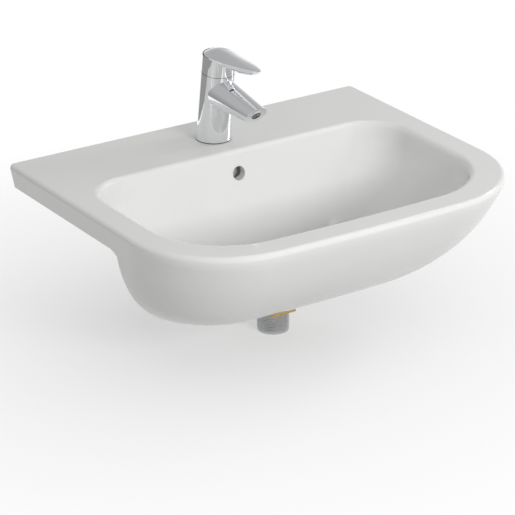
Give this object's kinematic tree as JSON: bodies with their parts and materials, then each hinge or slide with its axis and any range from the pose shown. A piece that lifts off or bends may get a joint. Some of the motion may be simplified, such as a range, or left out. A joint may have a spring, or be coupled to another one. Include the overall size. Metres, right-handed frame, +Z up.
{
  "type": "semi recessed basin",
  "caption": "Semi recessed washbasin with a deep front bowl, a rear deck with a leaning single lever mixer, an overflow hole and a click waste.",
  "frame": {"origin": "on the worktop top under the rim, at the middle of the wall side", "axes": "+X to the right seen from the user, +Y towards the wall, +Z up"},
  "size_m": [0.5494, 0.4459, 0.3563],
  "materials": {
    "glazed_china": "glossy white glaze",
    "chromed_brass": "bright chrome",
    "brass": "turned",
    "steel": "plain",
    "rubber": "moulded",
    "white_acetal": "moulded",
    "alumina": "lapped",
    "grey_plug": "moulded"
  },
  "bodies": {
    "fixed": {"basin": "glazed_china", "base_seal": "rubber", "mixer_body": "chromed_brass", "fixing_stud": "brass", "horseshoe_gasket": "rubber", "horseshoe_washer": "steel", "clamp_nut": "brass", "aerator_housing": "chromed_brass", "aerator_insert": "white_acetal", "aerator_seal": "rubber", "cartridge_base_seals": "rubber", "cartridge_housing": "white_acetal", "ceramic_disc_fixed": "alumina", "cartridge_retaining_nut": "brass", "waste_body": "chromed_brass", "flange_seal": "rubber", "lower_seal": "rubber", "slip_washer": "white_acetal", "waste_backnut": "brass", "plunger_guide": "brass", "plunger_spring": "steel"},
    "carrier": {"swivel_shroud": "chromed_brass", "spindle_carrier": "white_acetal", "lever_pivot_pin": "steel"},
    "lever": {"lever_handle": "chromed_brass", "lever_stem": "steel", "grub_screw": "steel", "index_plug": "grey_plug"},
    "mixing_disc": {"ceramic_disc_moving": "alumina", "mixing_disc_carrier": "white_acetal"},
    "plug": {"plug_cap": "chromed_brass", "plug_seal": "rubber", "plug_stem": "brass"}
  },
  "joints": [
    {"name": "temperature_swing", "type": "hinge", "parent": "fixed", "child": "carrier", "pos_m": [0, -0.072, 0.0339], "axis": [0, -0.1219, 0.9925], "range_deg": [-45, 45]},
    {"name": "lever_lift", "type": "hinge", "parent": "carrier", "child": "lever", "pos_m": [0, -0.08638, 0.15102], "axis": [-1, 0, 0], "range_deg": [0, 25]},
    {"name": "mixing_disc_slide", "type": "slide", "parent": "carrier", "child": "mixing_disc", "axis": [0, -0.9925, -0.1219], "range_m": [0, 0.0056]},
    {"name": "plug_click", "type": "slide", "parent": "fixed", "child": "plug", "axis": [0, 0, -1], "range_m": [0, 0.007], "deforming": ["plunger_spring"]}
  ],
  "couplings": [
    {"joint": "mixing_disc_slide", "follows": "lever_lift", "m_per_rad": 0.01259}
  ]
}
